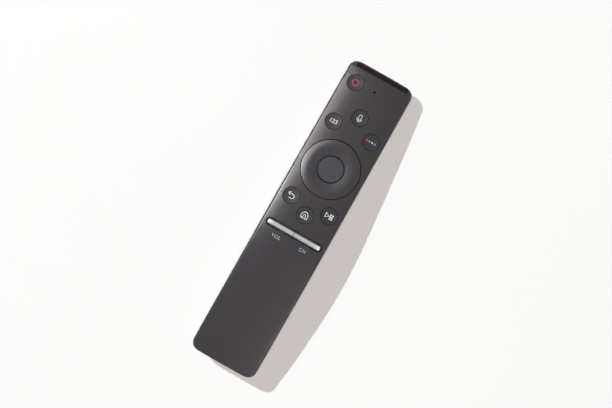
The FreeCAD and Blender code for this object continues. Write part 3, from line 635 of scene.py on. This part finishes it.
def lay(name, node, body, spot, mesh, material, tilt):
    """Cuts a flat outline into cells and drops it onto a node's surface, square to the tilt."""
    bounds = [max(abs(v.co.x) for v in mesh.verts), max(abs(v.co.y) for v in mesh.verts)]
    for axis in (0, 1):
        steps = int(bounds[axis] / PRINT_CELL) + 1
        for step in range(-steps, steps + 1):
            geometry = mesh.verts[:] + mesh.edges[:] + mesh.faces[:]
            bmesh.ops.bisect_plane(mesh, geom=geometry, plane_co=along(axis, step * PRINT_CELL),
                                   plane_no=along(axis), dist=PRINT_CUT_DISTANCE)
    up = upright(tilt)
    forward = Vector((0, math.cos(tilt), -math.sin(tilt)))
    tree = search_tree(node)
    above = Vector((spot[0] * MM, spot[1] * MM, RAY_HEIGHT))
    centre = tree.ray_cast(above, Vector((0, 0, -1)))[0]
    for vert in mesh.verts:
        flat = centre + along(0) * vert.co.x * MM + forward * vert.co.y * MM
        hit = tree.ray_cast(flat + up * RAY_START, -up)[0]
        vert.co = hit + up * PRINT_LIFT
    bmesh.ops.recalc_face_normals(mesh, faces=mesh.faces[:])
    if sum(face.normal.z for face in mesh.faces) < 0:
        bmesh.ops.reverse_faces(mesh, faces=mesh.faces[:])
    new_piece(name, mesh, body, material)


def sign(name, button, mesh, material):
    """A sign in the middle of a key, which moves with it."""
    lay(name, button, button, KEY_SPOTS[button], mesh, material, DECK_TILT)


# Power: a ring, closed by a short second stroke
power = bmesh.new()
stroke(power, arc(0, 0, 1.62, 0, 345, 40)[:-1], BOLD_LINE)
stroke(power, arc(0, 0, 1.62, 340, 365, 4), BOLD_LINE)
sign("power_sign", "power_button", power, red_print)

# Voice: a microphone with its bow and stand
voice = bmesh.new()
capsule = arc(0, 0.95, 0.72, 0, 180, 14) + arc(0, -0.35, 0.72, 180, 360, 14)
stroke(voice, capsule, MICROPHONE_LINE, closed=True)
stroke(voice, arc(0, -0.45, 1.32, 180, 360, 20), MICROPHONE_LINE)
stroke(voice, [(0, -1.7), (0, -2.25)], BOLD_LINE)
sign("voice_sign", "voice_button", voice, white_print)

number = bmesh.new()
words(number, "123", 2.2, boldness=0.035, spacing=0.98)
sign("number_sign", "number_button", number, white_print)

# Colour: four dots in a row
for index, material in enumerate(dot_prints):
    dot = bmesh.new()
    middle = (index - (len(dot_prints) - 1) / 2) * DOT_PITCH
    polygon(dot, arc(middle, 0, DOT_RADIUS, 0, 345, 23))
    sign("colour_sign_%d" % (index + 1), "colour_button", dot, material)

# Return: an arrow that bends back to the left
back = bmesh.new()
bend = [(-1.7, 0.75), (0.6, 0.75)] + arc(0.6, -0.35, 1.1, 80, -80, 16)
stroke(back, bend + [(0.6, -1.45), (-0.9, -1.45)], LINE)
stroke(back, [(-0.75, 1.65), (-1.75, 0.75), (-0.75, -0.15)], LINE)
sign("return_sign", "return_button", back, white_print)

# Play: a triangle and a grid of six fields beside it
guide = bmesh.new()
stroke(guide, [(-1.95, 1.1), (-0.1, -0.1), (-1.95, -1.3)], FINE_LINE, closed=True)
for row in range(3):
    for column in range(2):
        left = GRID_FIRST_X + column * GRID_PITCH_X - GRID_HALF_WIDTH
        right = GRID_FIRST_X + column * GRID_PITCH_X + GRID_HALF_WIDTH
        low = GRID_FIRST_Y - row * GRID_PITCH_Y - GRID_HALF_HEIGHT
        high = GRID_FIRST_Y - row * GRID_PITCH_Y + GRID_HALF_HEIGHT
        polygon(guide, [(left, low), (right, low), (right, high), (left, high)])
sign("play_sign", "play_button", guide, white_print)

# Home: a house with an arched door
home = bmesh.new()
house = [(-1.65, -1.7), (-1.65, 0.45), (-0.5, 1.5), (0.5, 1.5), (1.65, 0.45), (1.65, -1.7)]
stroke(home, house, LINE, closed=True)
stroke(home, [(-0.62, -1.7)] + arc(0, -0.35, 0.62, 180, 0, 12) + [(0.62, -1.7)], FINE_LINE)
sign("home_sign", "home_button", home, white_print)

for name, text, spot in LABELS:
    label = bmesh.new()
    words(label, text, LABEL_HEIGHT, boldness=0.012, spacing=1.12)
    lay(name, "front_cover", "housing", spot, label, label_print, 0.0)


# Floor, lamps, world and camera, in metres. The floor lies a hair below the underside

FLOOR_REACH = 3.0
FLOOR_DROP = 0.00002
FLOOR_COLOUR = (0.955, 0.955, 0.955)
FLOOR_SPREAD = 0.006
FLOOR_SCALE = 6
KEY_TRAVEL = Vector((0.6007, -0.1412, -0.7869))
KEY_HEIGHT = 1.25
FILL_COLOUR = (1.0, 0.96, 0.94, 1)
FILL_STRENGTH = 0.085
SEEN_COLOUR = (0.97, 0.97, 0.97, 1)
CAMERA_SPOT = (-0.0022, 0.007, 0.671)
CAMERA_TURN = math.radians(29.6)


def floor_material():
    material, tree, coords, surface = shader("floor")
    tint = mottled(tree, coords, FLOOR_COLOUR, FLOOR_SPREAD, FLOOR_SCALE)
    tree.links.new(tint, surface.inputs["Base Color"])
    surface.inputs["Roughness"].default_value = 0.9
    surface.inputs["Specular IOR Level"].default_value = 0.0
    return material


floor_data = bpy.data.meshes.new("floor")
corners = [(-FLOOR_REACH, -FLOOR_REACH, 0), (FLOOR_REACH, -FLOOR_REACH, 0),
           (FLOOR_REACH, FLOOR_REACH, 0), (-FLOOR_REACH, FLOOR_REACH, 0)]
floor_data.from_pydata(corners, [], [(0, 1, 2, 3)])
floor_data.materials.append(floor_material())
floor = bpy.data.objects.new("floor", floor_data)
bpy.context.scene.collection.objects.link(floor)
floor.location.z = -FLOOR_DROP


def lamp(name, kind, energy, colour, travel):
    """A lamp that shines along a direction."""
    data = bpy.data.lights.new(name, kind)
    data.energy = energy
    data.color = colour
    holder = bpy.data.objects.new(name, data)
    holder.rotation_euler = Vector(travel).to_track_quat("-Z", "Y").to_euler()
    bpy.context.scene.collection.objects.link(holder)
    return holder


def soft_box(name, energy, colour, spot, width, length):
    """A soft light aimed at the middle, which only shows as a sheen on glossy faces."""
    box = lamp(name, "AREA", energy, colour, -Vector(spot))
    box.location = spot
    box.data.shape = "RECTANGLE"
    box.data.size = width
    box.data.size_y = length
    box.visible_diffuse = False
    box.visible_camera = False


# The key light is small and keeps its strength with distance, so the shadow's edge is crisp
key_light = lamp("key_light", "SPOT", energy=22.6, colour=(0.90, 0.98, 1.0), travel=KEY_TRAVEL)
key_light.location = KEY_TRAVEL * (KEY_HEIGHT / KEY_TRAVEL.z)
key_light.data.shadow_soft_size = 0.014
key_light.data.spot_size = math.radians(60)
key_light.data.spot_blend = 0.2
key_light.data.use_nodes = True
key_tree = key_light.data.node_tree
even = key_tree.nodes.new("ShaderNodeLightFalloff")
even.inputs["Strength"].default_value = 1.0
key_tree.links.new(even.outputs["Constant"], key_tree.nodes["Emission"].inputs["Strength"])

# The fill light lifts the shadow from straight above
fill_light = lamp("fill_light", "SUN", energy=1.66, colour=(1.0, 0.935, 0.905),
                  travel=(0.0, 0.0, -1.0))
fill_light.data.angle = math.radians(9)
fill_light.visible_glossy = False

# A wide soft box beside the key light for the left shoulder, and a weak one opposite for the tail
soft_box("sheen_light", energy=16.0, colour=(1.0, 0.88, 0.935), spot=(-0.86, 0.48, 1.03),
         width=0.85, length=0.9)
soft_box("edge_light", energy=2.6, colour=(1.0, 0.93, 0.96), spot=(0.62, -0.5, 1.0),
         width=0.5, length=0.5)

# The world is bright where the camera, a reflection or glass sees it, and dim as a light
world = bpy.data.worlds.new("studio")
world.use_nodes = True
bpy.context.scene.world = world
tree = world.node_tree
tree.nodes.clear()
output = tree.nodes.new("ShaderNodeOutputWorld")
fill = tree.nodes.new("ShaderNodeBackground")
fill.inputs["Color"].default_value = FILL_COLOUR
fill.inputs["Strength"].default_value = FILL_STRENGTH
seen = tree.nodes.new("ShaderNodeBackground")
seen.inputs["Color"].default_value = SEEN_COLOUR
seen.inputs["Strength"].default_value = 1.0
path = tree.nodes.new("ShaderNodeLightPath")
either = tree.nodes.new("ShaderNodeMath")
either.operation = "MAXIMUM"
any_ray = tree.nodes.new("ShaderNodeMath")
any_ray.operation = "MAXIMUM"
mix = tree.nodes.new("ShaderNodeMixShader")
tree.links.new(path.outputs["Is Camera Ray"], either.inputs[0])
tree.links.new(path.outputs["Is Glossy Ray"], either.inputs[1])
tree.links.new(either.outputs[0], any_ray.inputs[0])
tree.links.new(path.outputs["Is Transmission Ray"], any_ray.inputs[1])
tree.links.new(any_ray.outputs[0], mix.inputs[0])
tree.links.new(fill.outputs[0], mix.inputs[1])
tree.links.new(seen.outputs[0], mix.inputs[2])
tree.links.new(mix.outputs[0], output.inputs[0])

camera_data = bpy.data.cameras.new("camera")
camera_data.sensor_width = 36.0
camera_data.lens = 77.94
camera_data.clip_start = 0.01
camera = bpy.data.objects.new("camera", camera_data)
camera.location = CAMERA_SPOT
camera.rotation_euler = (0, 0, CAMERA_TURN)
bpy.context.scene.collection.objects.link(camera)
bpy.context.scene.camera = camera
bpy.context.scene.view_settings.view_transform = "Standard"
